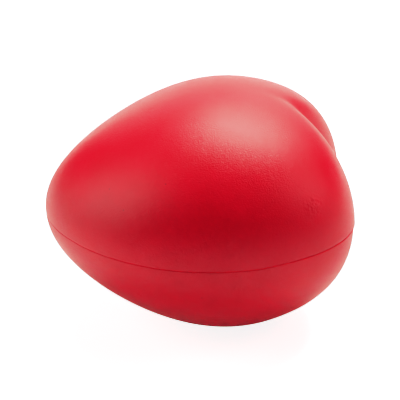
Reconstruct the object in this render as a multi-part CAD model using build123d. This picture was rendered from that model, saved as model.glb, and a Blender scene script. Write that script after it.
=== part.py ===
"""Heart-shaped squeeze toy: a block of soft foam inside a moulded skin.

The frame has its origin on the table, under the middle of the bounding box. +X runs
from the heart's tip towards its cleft, +Y across the two lobes and +Z up. Sizes are in
millimetres. The heart lies flat, with the parting line between its mould halves level.
"""
import os
from math import atan2, cos, hypot, pi, sin

from build123d import *

# Outline of the heart, seen from above
length = 72.0  # from the tip to the far ends of the lobes
width = 74.0  # across the widest place
widest_from_tip = 43.5  # how far back from the tip the widest place is
lobe_spacing = 28.7  # between the far ends of the two lobes
cleft_depth = 7.8  # from the far ends of the lobes to the bottom of the cleft

# How full each curve of the outline is: the handle at each end of a stretch, as a
# share of the distance that the stretch covers in the handle's direction
tip_fullness = 0.32
cheek_fullness = 0.61
shoulder_fullness = 0.29
lobe_fullness = 0.77
lobe_inner_fullness = 0.64
cleft_fullness = 0.16

# The two domes
rise_above_seam = 27.65  # from the parting line to the top
drop_below_seam = 27.65  # from the parting line to the underside, before it is flattened
apex_from_tip = 43.2  # where the top of each dome is
crown_length_radius = 32.6  # the rounded crown that the heart's levels turn into
crown_width_radius = 38.7
crown_onset = 2.3  # a higher power keeps the cleft sharp nearer to the top
side_roundness = 0.97  # 1 is a circular side, and less is a fuller one
foot_flattening = 1.0  # how far its own weight and long rest have flattened its underside

# The skin, the parting line and the fit between the pieces
skin_thickness = 1.2
bond_gap = 0.1  # between the foam and the inner wall of the skin
flash_height = 0.3  # the web of skin left between the two mould halves
flash_recess = 0.15  # how far the web is trimmed below the surface

# How finely the dome surfaces are sampled
steps_round = 48
steps_up = 16
fit_tolerance = 0.001

tip_x = -length / 2
lobe_x = length / 2
apex_x = tip_x + apex_from_tip
seam_z = drop_below_seam - foot_flattening


def half_outline(inset):
    """The +Y half of the outline, from the tip to the cleft, moved inwards by inset.

    It is drawn about the domes' axis, which is its origin.
    """
    tip = Vector(tip_x - apex_x + inset, 0)
    widest = Vector(tip_x - apex_x + widest_from_tip, width / 2 - inset)
    lobe = Vector(lobe_x - apex_x - inset, lobe_spacing / 2)
    cleft = Vector(lobe_x - apex_x - cleft_depth - inset, 0)
    cheek = Edge.make_bezier(
        tip,
        tip + Vector(0, tip_fullness * widest.Y),
        widest - Vector(cheek_fullness * (widest.X - tip.X), 0),
        widest,
    )
    shoulder = Edge.make_bezier(
        widest,
        widest + Vector(shoulder_fullness * (lobe.X - widest.X), 0),
        lobe + Vector(0, lobe_fullness * (widest.Y - lobe.Y)),
        lobe,
    )
    inner_lobe = Edge.make_bezier(
        lobe,
        lobe - Vector(0, lobe_inner_fullness * lobe.Y),
        cleft + Vector(0, cleft_fullness * lobe.Y),
        cleft,
    )
    return Wire([cheek, shoulder, inner_lobe])


def level(outline, inset, climb):
    """One level line of a dome, as (x, y) points about its axis, from tip to cleft.

    climb runs from 0 at the parting line to pi/2 at the top. The line starts as the
    heart, and turns into the oval of the crown while it shrinks to a point.
    """
    crown_share = sin(climb) ** crown_onset
    shrink = cos(climb) ** side_roundness if climb < pi / 2 else 0
    points = []
    for step in range(steps_round + 1):
        place = outline.position_at(step / steps_round)
        across = place.Y if 0 < step < steps_round else 0
        angle = atan2(across, place.X)
        crown_x = cos(angle) / (crown_length_radius - inset)
        crown_y = sin(angle) / (crown_width_radius - inset)
        heart_radius = hypot(place.X, across)
        crown_radius = 1 / hypot(crown_x, crown_y)
        radius = shrink * ((1 - crown_share) * heart_radius + crown_share * crown_radius)
        points.append((radius * cos(angle), radius * sin(angle) if across else 0))
    return points


def dome(inset, rise):
    """A solid dome above the parting line, its surface inset from the toy's own.

    Its flat base is half the flash height above the parting line.
    """
    outline = half_outline(inset)
    base_z = seam_z + flash_height / 2
    dome_rise = rise - inset - flash_height / 2
    rows = []
    for step in range(steps_up + 1):
        climb = pi / 2 * step / steps_up
        z = base_z + dome_rise * sin(climb)
        rows.append([Vector(apex_x + x, y, z) for x, y in level(outline, inset, climb)])
    left = Face.make_surface_from_array_of_points(rows, tol=fit_tolerance, min_deg=3)
    right = left.mirror(Plane.XZ)
    edges = left.edges() + right.edges()
    rim = [edge for edge in edges if abs((edge @ 0.5).Z - base_z) < fit_tolerance]
    rim = [edge for edge in rim if abs((edge @ 0.5).Y) > fit_tolerance]
    return Solid(Shell([left, right, Face(Wire(rim))]))


def lower_dome(inset):
    """The same kind of dome, hanging below the parting line, with a flattened foot."""
    whole = dome(inset, drop_below_seam).mirror(Plane.XY.offset(seam_z))
    return split(whole, Plane.XY.offset(inset), keep=Keep.TOP)


def flat_heart(inset):
    """A heart-shaped plate as high as the flash, on the parting line."""
    half = half_outline(inset).moved(Location((apex_x, 0, seam_z - flash_height / 2)))
    outline = Wire(half.edges() + half.mirror(Plane.XZ).edges())
    return extrude(Face(outline), flash_height, dir=(0, 0, 1))


def make_upper_skin():
    return dome(0, rise_above_seam) - dome(skin_thickness, rise_above_seam)


def make_lower_skin():
    return lower_dome(0) - lower_dome(skin_thickness)


def make_foam_core():
    """The foam fills the skin, and touches the flash all the way round."""
    core_inset = skin_thickness + bond_gap
    upper = dome(core_inset, rise_above_seam)
    base = upper.faces().sort_by(Axis.Z)[0]
    belt = extrude(base, flash_height, dir=(0, 0, -1))
    return lower_dome(core_inset) + belt + upper


def make_parting_flash(foam_core):
    """The thin web between the skins, from the foam out to just below the surface."""
    return flat_heart(flash_recess) - foam_core


def main():
    os.makedirs("parts", exist_ok=True)
    foam_core = make_foam_core()
    parts = {
        "upper_skin": make_upper_skin(),
        "lower_skin": make_lower_skin(),
        "parting_flash": make_parting_flash(foam_core),
        "foam_core": foam_core,
    }
    for name, part in parts.items():
        export_step(part, f"parts/{name}.step")


main()
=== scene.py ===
"""Looks for the heart-shaped stress ball: two satin skins, the flash between them and the foam.

Lengths are in metres, in the frame's own axes: +X runs from the heart's tip towards its
cleft, +Y across the two lobes and +Z up. The ball lies flat, with its parting line level.
"""

from math import cos, pi, radians, sin

import bpy
import numpy as np
from mathutils import Matrix, Vector


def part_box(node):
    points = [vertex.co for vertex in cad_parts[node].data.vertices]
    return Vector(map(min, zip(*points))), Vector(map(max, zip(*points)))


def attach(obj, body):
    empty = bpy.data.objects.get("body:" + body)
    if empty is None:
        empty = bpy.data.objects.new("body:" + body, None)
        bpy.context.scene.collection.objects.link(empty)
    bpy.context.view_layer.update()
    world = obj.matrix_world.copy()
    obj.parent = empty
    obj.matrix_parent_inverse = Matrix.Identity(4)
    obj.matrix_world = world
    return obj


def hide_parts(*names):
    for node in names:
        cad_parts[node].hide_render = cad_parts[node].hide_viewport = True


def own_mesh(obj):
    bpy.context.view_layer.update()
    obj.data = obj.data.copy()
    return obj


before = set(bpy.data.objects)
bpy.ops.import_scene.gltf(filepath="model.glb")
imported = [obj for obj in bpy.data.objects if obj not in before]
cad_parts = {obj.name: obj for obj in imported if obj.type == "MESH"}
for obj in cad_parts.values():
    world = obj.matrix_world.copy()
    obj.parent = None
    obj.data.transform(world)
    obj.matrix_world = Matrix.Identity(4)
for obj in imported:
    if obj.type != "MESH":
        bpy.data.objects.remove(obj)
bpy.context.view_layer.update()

MM = 0.001

# Places taken from the frame
UPPER_LOW, UPPER_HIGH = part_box("upper_skin")
FLASH_LOW, FLASH_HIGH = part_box("parting_flash")
CORE_LOW, CORE_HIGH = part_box("foam_core")
TIP_X = UPPER_LOW.x
LOBE_X = UPPER_HIGH.x
HALF_WIDTH = (UPPER_HIGH.y - UPPER_LOW.y) / 2
TOP_Z = UPPER_HIGH.z
SEAM_Z = (FLASH_LOW.z + FLASH_HIGH.z) / 2
HALF_FLASH = (FLASH_HIGH.z - FLASH_LOW.z) / 2
RISE = TOP_Z - SEAM_Z
CORE_INSET = TOP_Z - CORE_HIGH.z

# The heart's outline and its two domes, as in the CAD source
WIDEST_FROM_TIP = 43.5 * MM
LOBE_SPACING = 28.7 * MM
CLEFT_DEPTH = 7.8 * MM
TIP_FULLNESS = 0.32
CHEEK_FULLNESS = 0.61
SHOULDER_FULLNESS = 0.29
LOBE_FULLNESS = 0.77
LOBE_INNER_FULLNESS = 0.64
CLEFT_FULLNESS = 0.16
APEX_X = TIP_X + 43.2 * MM
CROWN_LENGTH_RADIUS = 32.6 * MM
CROWN_WIDTH_RADIUS = 38.7 * MM
CROWN_ONSET = 2.3
SIDE_ROUNDNESS = 0.97
SKIN_THICKNESS = 1.2 * MM

# How the moulding departs from the ideal form. Of a pair, the first value holds at the tip
# and the cheeks, and the second at the lobes, which begin that far along X from the axis
LOBES_START = 6 * MM
LOBES_FADE = 10 * MM
WANDER_DEPTH = 0.03 * MM
WANDER_REACH = 1.5 * MM
RIPPLE_DEPTH = 0.04 * MM
RIPPLE_LENGTH = 26 * MM
LIP_FROM_SEAM = (0.105 * MM, 0.18 * MM)
UPPER_LIP_IN = (0.05 * MM, 0.14 * MM)
UPPER_LIP_UP = (0.35 * MM, 0.80 * MM)
LOWER_LIP_IN = 0.05 * MM
LOWER_LIP_UP = 0.10 * MM
LOWER_MISMATCH = (0, 0.28 * MM)
FLASH_TRIM = (0.05 * MM, 0)
FLASH_TRIM_NOISE = 0.01 * MM
FLASH_EDGE = (0.04 * MM, 0.08 * MM)
FLASH_HALF_HEIGHT = (0.09 * MM, 0.16 * MM)
FLAT_EDGE_SOFTNESS = 0.12 * MM
PIT_DEPTH = 0.05 * MM
PIT_LENGTH = 3 * MM

# How finely the pieces are meshed
CURVE_STEPS = 400
HALF_COLUMNS = 220
OUTER_ROWS = 104
LIP_ROWS = 6
INNER_ROWS = 36
CORE_ROWS = 60

# The camera, about the point that it looks at. Azimuths and elevations are in degrees
AIM = Vector((1.0 * MM, 0, SEAM_Z - 0.3 * MM))
CAMERA_DISTANCE = 299.8 * MM
CAMERA_AZIMUTH = -0.664
CAMERA_ELEVATION = 25.786
CAMERA_ROLL = radians(3.52)
CAMERA_LENS = 112.3
CAMERA_SENSOR = 36.0

# How the camera shows light: the brightness that is shown as full white, and the points
# (light, shown) of the curve that leads up to it
FILM_WHITE = 1.8
FILM_RESPONSE = ((0.3, 0.3), (0.6, 0.6), (0.8, 0.74), (1.05, 0.81), (1.4, 0.84), (1.6, 0.9))
# Its green has a toe, and its blue a weaker one, which keeps dark reds pure
GREEN_TOE = ((0.01, 0.005), (0.03, 0.023), (0.06, 0.056), (0.12, 0.13), (0.22, 0.24), (0.4, 0.4))
BLUE_TOE = ((0.02, 0.015), (0.05, 0.043), (0.10, 0.093), (0.20, 0.195), (0.4, 0.4))

# The studio: name, azimuth, elevation, distance, width, height and brightness of each panel
PANELS = (
    ("key_softbox", 155, 64, 1.00, 0.78, 0.40, 15.0),
    ("key_reflector", 147, 47, 1.10, 0.80, 0.80, 2.2),
    ("low_back_card", 176, 14, 1.20, 1.25, 0.64, 1.35),
    ("left_card", -92, 28, 1.00, 0.68, 0.74, 3.4),
    ("right_card", 80, 31, 1.00, 0.50, 0.60, 2.7),
)
ROOM_GREY = 0.03
FLOOR_SIZE = 8
WALL_RADIUS = 3.8


# ---------------------------------------------------------------- shape

def bezier(start, start_handle, end_handle, end):
    t = np.linspace(0, 1, CURVE_STEPS)[:, None]
    return (
        (1 - t) ** 3 * start
        + 3 * (1 - t) ** 2 * t * start_handle
        + 3 * (1 - t) * t**2 * end_handle
        + t**3 * end
    )


def heart_outline(inset):
    """The outline about the domes' axis, once round from the tip, moved inwards by inset."""
    tip = np.array((TIP_X - APEX_X + inset, 0))
    widest = np.array((TIP_X - APEX_X + WIDEST_FROM_TIP, HALF_WIDTH - inset))
    lobe = np.array((LOBE_X - APEX_X - inset, LOBE_SPACING / 2))
    cleft = np.array((LOBE_X - APEX_X - CLEFT_DEPTH - inset, 0))
    along, across = np.eye(2)
    cheek = bezier(
        tip,
        tip + TIP_FULLNESS * widest[1] * across,
        widest - CHEEK_FULLNESS * (widest[0] - tip[0]) * along,
        widest,
    )
    shoulder = bezier(
        widest,
        widest + SHOULDER_FULLNESS * (lobe[0] - widest[0]) * along,
        lobe + LOBE_FULLNESS * (widest[1] - lobe[1]) * across,
        lobe,
    )
    inner_lobe = bezier(
        lobe,
        lobe - LOBE_INNER_FULLNESS * lobe[1] * across,
        cleft + CLEFT_FULLNESS * lobe[1] * across,
        cleft,
    )
    half = np.concatenate([cheek, shoulder[1:], inner_lobe[1:]])
    run = np.concatenate([[0], np.cumsum(np.linalg.norm(np.diff(half, axis=0), axis=1))])
    even = np.linspace(0, run[-1], HALF_COLUMNS + 1)
    half = np.column_stack([np.interp(even, run, half[:, 0]), np.interp(even, run, half[:, 1])])
    return np.concatenate([half, half[-2:0:-1] * (1, -1)])


OUTLINE = heart_outline(0)
OUTLINE_PER_INSET = (heart_outline(SKIN_THICKNESS) - OUTLINE) / SKIN_THICKNESS
ROUND = np.linspace(0, 2 * pi, len(OUTLINE), endpoint=False)
LOBE_SHARE = np.clip((OUTLINE[:, 0] - LOBES_START) / LOBES_FADE, 0, 1)


def towards_lobes(at_tip, at_lobes):
    """A value for each column, which goes from the first to the second where the lobes begin."""
    return at_tip + (at_lobes - at_tip) * LOBE_SHARE


def climb_at(height, inset):
    """How far up the dome a height above the parting line is, from 0 to pi/2."""
    share = (height - HALF_FLASH) / (RISE - inset - HALF_FLASH)
    return np.arcsin(np.clip(share, -1, 1))


def dome(inset, climb):
    """Points of the upper dome, from arrays of insets and climbs, one row to a level."""
    place = OUTLINE + OUTLINE_PER_INSET * inset[..., None]
    heart_radius = np.hypot(place[..., 0], place[..., 1])
    angle = np.arctan2(place[..., 1], place[..., 0])
    crown_x = np.cos(angle) / (CROWN_LENGTH_RADIUS - inset)
    crown_y = np.sin(angle) / (CROWN_WIDTH_RADIUS - inset)
    crown_share = np.clip(np.sin(climb), 0, 1) ** CROWN_ONSET
    shrink = np.clip(np.cos(climb), 0, 1) ** SIDE_ROUNDNESS
    radius = (1 - crown_share) * heart_radius + crown_share / np.hypot(crown_x, crown_y)
    return np.stack(
        [
            APEX_X + shrink * radius * np.cos(angle),
            shrink * radius * np.sin(angle),
            SEAM_Z + HALF_FLASH + (RISE - inset - HALF_FLASH) * np.sin(climb),
        ],
        axis=-1,
    )


def waves(points, wavelength, seed, count=14):
    """A smooth random field from about -1 to 1, with features of about that wavelength."""
    rng = np.random.default_rng(seed)
    total = np.zeros(points.shape[:-1])
    for _ in range(count):
        direction = rng.normal(size=3)
        direction *= rng.uniform(0.6, 1.4) / np.linalg.norm(direction)
        total += np.sin(2 * pi * (points @ direction) / wavelength + rng.uniform(0, 2 * pi))
    return total / np.sqrt(count)


def round_waves(fewest, most, seed):
    """A smooth random value for each column, with that many waves round the outline."""
    rng = np.random.default_rng(seed)
    numbers = range(fewest, most + 1)
    total = sum(np.sin(n * ROUND + rng.uniform(0, 2 * pi)) for n in numbers)
    return total / np.sqrt(len(numbers))


# The parting line wanders a little, the same way for both skins and the flash
WANDER = WANDER_DEPTH * round_waves(9, 40, seed=1)
RIM_HEIGHT = towards_lobes(*LIP_FROM_SEAM)


def wandered(points, side):
    """Moves what is near the parting line up or down with it."""
    height = side * (points[..., 2] - SEAM_Z)
    near = np.exp(-np.clip(height - RIM_HEIGHT, 0, None) / WANDER_REACH)
    points = points.copy()
    points[..., 2] += WANDER * near
    return points


def settled(points, floor):
    """Flattens what would hang below a level, with a soft edge round the flat."""
    points = points.copy()
    above = (points[..., 2] - floor) / FLAT_EDGE_SOFTNESS
    points[..., 2] = floor + FLAT_EDGE_SOFTNESS * np.logaddexp(0, above)
    return points


def mirrored(points):
    return points * (1, 1, -1) + (0, 0, 2 * SEAM_Z)


def closed_piece(name, rings, first_pole=None, last_pole=None):
    """A closed mesh through rings of points. Without poles the last ring joins the first."""
    count = rings.shape[1]
    points = [tuple(point) for ring in rings for point in ring]
    faces = []
    pairs = len(rings) - 1 if first_pole is not None else len(rings)
    for row in range(pairs):
        here, there = row * count, (row + 1) % len(rings) * count
        for column in range(count):
            after = (column + 1) % count
            faces.append((here + column, here + after, there + after, there + column))
    if first_pole is not None:
        last = (len(rings) - 1) * count
        points += [tuple(first_pole), tuple(last_pole)]
        for column in range(count):
            after = (column + 1) % count
            faces.append((len(points) - 2, after, column))
            faces.append((len(points) - 1, last + column, last + after))
    mesh = bpy.data.meshes.new(name)
    mesh.from_pydata(points, [], faces)
    mesh.shade_smooth()
    piece = bpy.data.objects.new(name, mesh)
    bpy.context.scene.collection.objects.link(piece)
    return piece


def face_outwards(piece):
    bpy.context.view_layer.objects.active = piece
    piece.select_set(True)
    bpy.ops.object.mode_set(mode="EDIT")
    bpy.ops.mesh.select_all(action="SELECT")
    bpy.ops.mesh.normals_make_consistent(inside=False)
    bpy.ops.object.mode_set(mode="OBJECT")
    piece.select_set(False)


# ---------------------------------------------------------------- pieces

def skin_rings(lip_in, lip_up, mismatch, seed):
    """Rings of an upper skin: down its outer wall, round the lip and up its inner wall.

    lip_in and lip_up are how far the lip is rounded, inwards and upwards, and mismatch is
    how far the mould half stands back at the parting line. Each is one value, or one for
    each column.
    """
    lip_climb = climb_at(RIM_HEIGHT + lip_up, mismatch)
    share = np.arange(1, OUTER_ROWS + 1)[:, None] / OUTER_ROWS
    climb = pi / 2 - (pi / 2 - lip_climb) * share
    inset = mismatch * np.cos(climb) ** 2
    ripple = RIPPLE_DEPTH * (1 + waves(dome(inset, climb), RIPPLE_LENGTH, seed) / 2)
    outer = dome(inset + ripple * np.sin(pi * share), climb)

    turn = np.arange(1, LIP_ROWS + 1)[:, None] / LIP_ROWS * pi / 2
    lip_inset = mismatch + lip_in * (1 - np.cos(turn))
    lip = dome(lip_inset, climb_at(RIM_HEIGHT + lip_up * (1 - np.sin(turn)), lip_inset))

    deep = np.full((1, len(OUTLINE)), SKIN_THICKNESS)
    rim_inset = np.concatenate([(lip_inset[-1:] + deep) / 2, deep])
    rim = dome(rim_inset, climb_at(np.full_like(rim_inset, RIM_HEIGHT), rim_inset))

    climb = pi / 2 * np.arange(1, INNER_ROWS)[:, None] / INNER_ROWS * np.ones(len(OUTLINE))
    inner = dome(np.full_like(climb, SKIN_THICKNESS), climb)
    return np.concatenate([outer, lip, rim, inner])


def make_upper_skin():
    lip_in = towards_lobes(*UPPER_LIP_IN)
    lip_up = towards_lobes(*UPPER_LIP_UP)
    rings = wandered(skin_rings(lip_in, lip_up, mismatch=0, seed=2), 1)
    outer_pole = (APEX_X, 0, TOP_Z)
    inner_pole = (APEX_X, 0, TOP_Z - SKIN_THICKNESS)
    return closed_piece("upper_skin_half", rings, outer_pole, inner_pole)


def make_lower_skin():
    mismatch = towards_lobes(*LOWER_MISMATCH)
    rings = skin_rings(LOWER_LIP_IN, LOWER_LIP_UP, mismatch, seed=3)
    rings = wandered(mirrored(rings), -1)
    wall_end = len(rings) - INNER_ROWS + 1
    outside = settled(rings[:wall_end], 0)
    inside = settled(rings[wall_end:], SKIN_THICKNESS)
    outer_pole = (APEX_X, 0, 0)
    inner_pole = (APEX_X, 0, SKIN_THICKNESS)
    rings = np.concatenate([outside, inside])
    return closed_piece("lower_skin_half", rings, outer_pole, inner_pole)


def make_parting_flash():
    """The web between the skins, trimmed unevenly, and thicker at the lobes."""
    trim = towards_lobes(*FLASH_TRIM) + FLASH_TRIM_NOISE * round_waves(30, 110, seed=4)
    edge = towards_lobes(*FLASH_EDGE)
    half_height = towards_lobes(*FLASH_HALF_HEIGHT)
    turns = np.linspace(-pi / 2, pi / 2, 7)[:, None]
    edge_inset = trim + edge * (1 - np.cos(turns))
    edge_height = half_height * np.sin(turns)
    inner_inset = np.full((2, len(OUTLINE)), CORE_INSET)
    inner_height = np.stack([half_height, -half_height])
    inset = np.concatenate([edge_inset, inner_inset])
    height = np.concatenate([edge_height, inner_height])
    rings = dome(inset, np.zeros_like(inset))
    rings[..., 2] = SEAM_Z + height + WANDER
    return closed_piece("trimmed_flash", rings)


def make_foam_core():
    """The foam inside, its surface pitted by the cells that the mould half cut through."""
    share = np.arange(1, CORE_ROWS + 1)[:, None] / CORE_ROWS
    climb = pi / 2 * (1 - share) * np.ones(len(OUTLINE))
    inset = np.full_like(climb, CORE_INSET)
    points = dome(inset, climb)
    pits = PIT_DEPTH * (1 + waves(points, PIT_LENGTH, seed=5) / 3)
    upper = dome(inset + pits, climb)
    upper[-1, :, 2] = SEAM_Z + HALF_FLASH / 4
    lower = settled(mirrored(upper[::-1]), CORE_LOW.z)
    rings = np.concatenate([upper, lower])
    top = (APEX_X, 0, CORE_HIGH.z)
    bottom = (APEX_X, 0, CORE_LOW.z)
    return closed_piece("foam_body", rings, top, bottom)


# ---------------------------------------------------------------- materials

class Shader:
    """A material under construction, on one Principled BSDF."""

    def __init__(self, name):
        self.material = bpy.data.materials.new(name)
        self.material.use_nodes = True
        self.tree = self.material.node_tree
        self.surface = self.tree.nodes["Principled BSDF"]
        self.place = self.add("ShaderNodeTexCoord").outputs["Object"]

    def add(self, kind, **settings):
        node = self.tree.nodes.new(kind)
        for name, value in settings.items():
            setattr(node, name, value)
        return node

    def put(self, value, socket):
        """Links an output to a socket, or sets a plain value on it."""
        if isinstance(value, bpy.types.NodeSocket):
            self.tree.links.new(value, socket)
        else:
            socket.default_value = value

    def math(self, operation, first, second):
        node = self.add("ShaderNodeMath", operation=operation)
        self.put(first, node.inputs[0])
        self.put(second, node.inputs[1])
        return node.outputs[0]

    def spread(self, value, low, high, start=0.0, end=1.0):
        """Maps low to high of a value onto start to end, and holds it there beyond them."""
        node = self.add("ShaderNodeMapRange")
        for socket, entry in zip(node.inputs, (value, low, high, start, end)):
            self.put(entry, socket)
        return node.outputs[0]

    def noise(self, size, detail=2.0, roughness=0.5, place=None):
        """A noise with features of about that size, in metres."""
        node = self.add("ShaderNodeTexNoise")
        self.put(self.place if place is None else place, node.inputs["Vector"])
        node.inputs["Scale"].default_value = 1 / size
        node.inputs["Detail"].default_value = detail
        node.inputs["Roughness"].default_value = roughness
        return node.outputs["Fac"]

    def cells(self, size):
        """The distance to the nearest of scattered points about that far apart."""
        node = self.add("ShaderNodeTexVoronoi")
        self.put(self.place, node.inputs["Vector"])
        node.inputs["Scale"].default_value = 1 / size
        return node.outputs["Distance"]

    def stretched(self, rotation, scale):
        """The place, turned and then scaled, for a pattern that runs one way."""
        node = self.add("ShaderNodeMapping")
        self.put(self.place, node.inputs["Vector"])
        node.inputs["Rotation"].default_value = rotation
        node.inputs["Scale"].default_value = scale
        return node.outputs["Vector"]

    def near(self, point, reach):
        """1 at a point, falling to 0 at that distance from it."""
        node = self.add("ShaderNodeVectorMath", operation="DISTANCE")
        self.put(self.place, node.inputs[0])
        node.inputs[1].default_value = point
        return self.spread(node.outputs["Value"], 0, reach, 1, 0)

    def mix(self, share, first, second):
        node = self.add("ShaderNodeMix", data_type="RGBA")
        self.put(share, node.inputs[0])
        self.put((*first, 1) if isinstance(first, tuple) else first, node.inputs[6])
        self.put((*second, 1) if isinstance(second, tuple) else second, node.inputs[7])
        return node.outputs[2]

    def bump(self, height, depth, below=None):
        """Adds a relief that deep, in metres, on top of an earlier one."""
        node = self.add("ShaderNodeBump")
        node.inputs["Distance"].default_value = depth
        self.put(height, node.inputs["Height"])
        if below is not None:
            self.put(below, node.inputs["Normal"])
        return node.outputs["Normal"]

    def finish(self, colour, roughness, normal, specular=0.25):
        self.put(colour, self.surface.inputs["Base Color"])
        self.put(roughness, self.surface.inputs["Roughness"])
        self.put(normal, self.surface.inputs["Normal"])
        self.surface.inputs["Specular IOR Level"].default_value = specular
        return self.material


GRAIN_SIZE = 0.30 * MM
GRAIN_DEPTH = 0.08 * MM
DRAG_ANGLE = radians(35)
DRAG_STRETCH = 0.22
DRAG_SIZE = 0.5 * MM
DRAG_DEPTH = 0.009 * MM
CREASED_SPOT = (APEX_X + 18.0 * MM, -28.9 * MM, SEAM_Z + 10.5 * MM)
CREASED_REACH = 3 * MM
CREASE_SIZE = 0.7 * MM
CREASE_DEPTH = 0.25 * MM
SKIN_RED = (0.76, 0.005, 0.022)
SKIN_DEEP_RED = (0.70, 0.004, 0.018)
SKIN_SPECK = (0.16, 0.004, 0.008)
# Paler than the skin: a painted highlight, standing in for the light that the flash's thin ridge
# catches
FLASH_PAINTED_HIGHLIGHT_RED = (0.95, 0.008, 0.024)
FOAM_PALE = (0.66, 0.10, 0.11)
# Painted shade for the foam's pits, darker than the foam itself
FOAM_PAINTED_PIT_SHADE = (0.34, 0.02, 0.03)


def skin_material():
    """Satin moulded skin: a fine grain, faint drag wrinkles, rare specks and a creased spot."""
    shader = Shader("satin_skin")
    cloud = shader.noise(9 * MM, detail=3)
    fleck = shader.noise(0.7 * MM, detail=2)
    cloud_share = shader.math("MULTIPLY", cloud, 0.7)
    tone = shader.math("ADD", cloud_share, shader.math("MULTIPLY", fleck, 0.3))
    colour = shader.mix(shader.spread(tone, 0.35, 0.65), SKIN_DEEP_RED, SKIN_RED)
    specks = shader.spread(shader.cells(6 * MM), 0.015, 0.035, 0.7, 0)
    colour = shader.mix(specks, colour, SKIN_SPECK)
    fine = shader.noise(GRAIN_SIZE, detail=2, roughness=0.6)
    wear = shader.spread(shader.noise(3 * MM, detail=3), 0.3, 0.7, -0.02, 0.02)
    roughness = shader.math("ADD", shader.spread(fine, 0.35, 0.65, 0.29, 0.36), wear)

    relief = shader.bump(fine, GRAIN_DEPTH)
    along = shader.stretched((0, 0, DRAG_ANGLE), (1, DRAG_STRETCH, 1))
    drag = shader.noise(DRAG_SIZE, detail=1, place=along)
    drag_patches = shader.spread(shader.noise(14 * MM, detail=1), 0.5, 0.65)
    relief = shader.bump(shader.math("MULTIPLY", drag, drag_patches), DRAG_DEPTH, relief)
    creased = shader.near(CREASED_SPOT, CREASED_REACH)
    creases = shader.math("MULTIPLY", shader.cells(CREASE_SIZE), creased)
    relief = shader.bump(creases, CREASE_DEPTH, relief)
    return shader.finish(colour, roughness, relief)


def flash_material():
    """The trimmed edge of the web, cut matt and a little ragged. Its red is the skin's, mixed by
    noise with a paler red that is a painted highlight, standing in for the light that the thin
    ridge catches.
    """
    shader = Shader("trimmed_edge")
    # The paler red mixed in here is a painted highlight
    colour = shader.mix(shader.spread(shader.noise(1.2 * MM), 0.3, 0.7), SKIN_RED, FLASH_PAINTED_HIGHLIGHT_RED)
    roughness = shader.spread(shader.noise(0.6 * MM), 0.3, 0.7, 0.45, 0.6)
    ragged = shader.bump(shader.noise(0.25 * MM, detail=3), 0.03 * MM)
    return shader.finish(colour, roughness, ragged, specular=0.12)


def foam_material():
    """Open-celled foam: paler than the skin, with painted shade darkening it in its pits."""
    shader = Shader("soft_foam")
    pits = shader.cells(0.45 * MM)
    # The dark red towards the pits is painted shade
    colour = shader.mix(shader.spread(pits, 0.1, 0.6), FOAM_PAINTED_PIT_SHADE, FOAM_PALE)
    return shader.finish(colour, 0.9, shader.bump(pits, 0.15 * MM))


def floor_material(name, brightness, glow):
    """Pale paper that is a little uneven, and may glow."""
    shader = Shader(name)
    tone = shader.spread(shader.noise(0.2, detail=2), 0.3, 0.7)
    colour = shader.mix(tone, (brightness,) * 3, (brightness + 0.02,) * 3)
    shader.surface.inputs["Emission Color"].default_value = (1, 1, 1, 1)
    shader.surface.inputs["Emission Strength"].default_value = glow
    return shader.finish(colour, 0.9, shader.bump(shader.noise(1.5 * MM), 0.01 * MM))


# ---------------------------------------------------------------- studio

def staged(name, brightness, glow):
    """Names the new object and makes it a pale part of the studio."""
    item = bpy.context.object
    item.name = name
    item.data.materials.append(floor_material(name, brightness, glow))
    return item


def add_floor():
    """A glowing sheet and wall that only the camera sees, and a greyer sheet under them.

    The greyer sheet is what lights the ball from below.
    """
    bpy.ops.mesh.primitive_plane_add(size=FLOOR_SIZE)
    shown = staged("white_floor", 0.95, glow=1.5)
    bpy.ops.mesh.primitive_cylinder_add(
        radius=WALL_RADIUS, depth=FLOOR_SIZE, vertices=96, end_fill_type="NOTHING"
    )
    wall = staged("white_wall", 0.95, glow=1.8)
    for item in (shown, wall):
        item.visible_diffuse = item.visible_glossy = item.visible_shadow = False
    bpy.ops.mesh.primitive_plane_add(size=FLOOR_SIZE, location=(0, 0, -0.1 * MM))
    bounce = staged("bounce_floor", 0.78, glow=0)
    bounce.visible_camera = False


def direction(azimuth, elevation):
    """A unit vector, from degrees. Azimuth 0 is -Y, about where the camera is, and 90 is +X."""
    a, e = radians(azimuth), radians(elevation)
    return Vector((sin(a) * cos(e), -cos(a) * cos(e), sin(e)))


def add_panel(name, azimuth, elevation, distance, width, height, radiance):
    """A soft panel that faces the ball, as bright as that all over."""
    light = bpy.data.lights.new(name, "AREA")
    light.shape = "RECTANGLE"
    light.size, light.size_y = width, height
    light.energy = radiance * pi * width * height
    panel = bpy.data.objects.new(name, light)
    back = direction(azimuth, elevation)
    panel.location = AIM + back * distance
    panel.rotation_mode = "QUATERNION"
    panel.rotation_quaternion = back.to_track_quat("Z", "Y")
    bpy.context.scene.collection.objects.link(panel)


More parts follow.
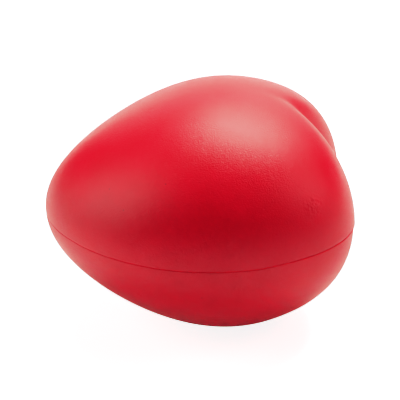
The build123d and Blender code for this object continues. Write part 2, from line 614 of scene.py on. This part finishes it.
def add_lights():
    for panel in PANELS:
        add_panel(*panel)
    world = bpy.data.worlds.new("dim_room")
    world.use_nodes = True
    world.node_tree.nodes["Background"].inputs["Color"].default_value = (ROOM_GREY,) * 3 + (1,)
    bpy.context.scene.world = world


def set_film():
    """A camera's response: straight up to 0.6 of white, and then a long shoulder."""
    view = bpy.context.scene.view_settings
    view.view_transform = "Standard"
    view.use_curve_mapping = True
    view.curve_mapping.white_level = (FILM_WHITE,) * 3
    red, green, blue, combined = view.curve_mapping.curves
    for light, shown in FILM_RESPONSE:
        combined.points.new(light / FILM_WHITE, shown)
    for curve, toe in ((green, GREEN_TOE), (blue, BLUE_TOE)):
        for light, shown in toe:
            curve.points.new(light, shown)
    view.curve_mapping.update()


def add_camera():
    back = direction(CAMERA_AZIMUTH, CAMERA_ELEVATION)
    level = direction(CAMERA_AZIMUTH + 90, 0)
    upright = back.cross(level)
    right = level * cos(CAMERA_ROLL) - upright * sin(CAMERA_ROLL)
    up = level * sin(CAMERA_ROLL) + upright * cos(CAMERA_ROLL)
    data = bpy.data.cameras.new("photo_camera")
    data.lens = CAMERA_LENS
    data.sensor_width = CAMERA_SENSOR
    data.clip_start = 0.01
    camera = bpy.data.objects.new("photo_camera", data)
    place = Matrix((right, up, back)).transposed().to_4x4()
    place.translation = AIM + back * CAMERA_DISTANCE
    camera.matrix_world = place
    bpy.context.scene.collection.objects.link(camera)
    bpy.context.scene.camera = camera


# ---------------------------------------------------------------- assembly

def add_pieces():
    skin = skin_material()
    upper = make_upper_skin()
    lower = make_lower_skin()
    flash = make_parting_flash()
    core = make_foam_core()
    materials = {upper: skin, lower: skin, flash: flash_material(), core: foam_material()}
    for piece, material in materials.items():
        face_outwards(piece)
        piece.data.materials.append(material)

    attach(upper, "upper")
    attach(lower, "lower")
    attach(flash, "middle")
    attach(core, "middle")
    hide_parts("upper_skin")
    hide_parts("lower_skin")
    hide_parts("parting_flash")
    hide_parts("foam_core")

    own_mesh(upper)
    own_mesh(lower)
    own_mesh(core)


add_pieces()
add_floor()
add_lights()
add_camera()
set_film()
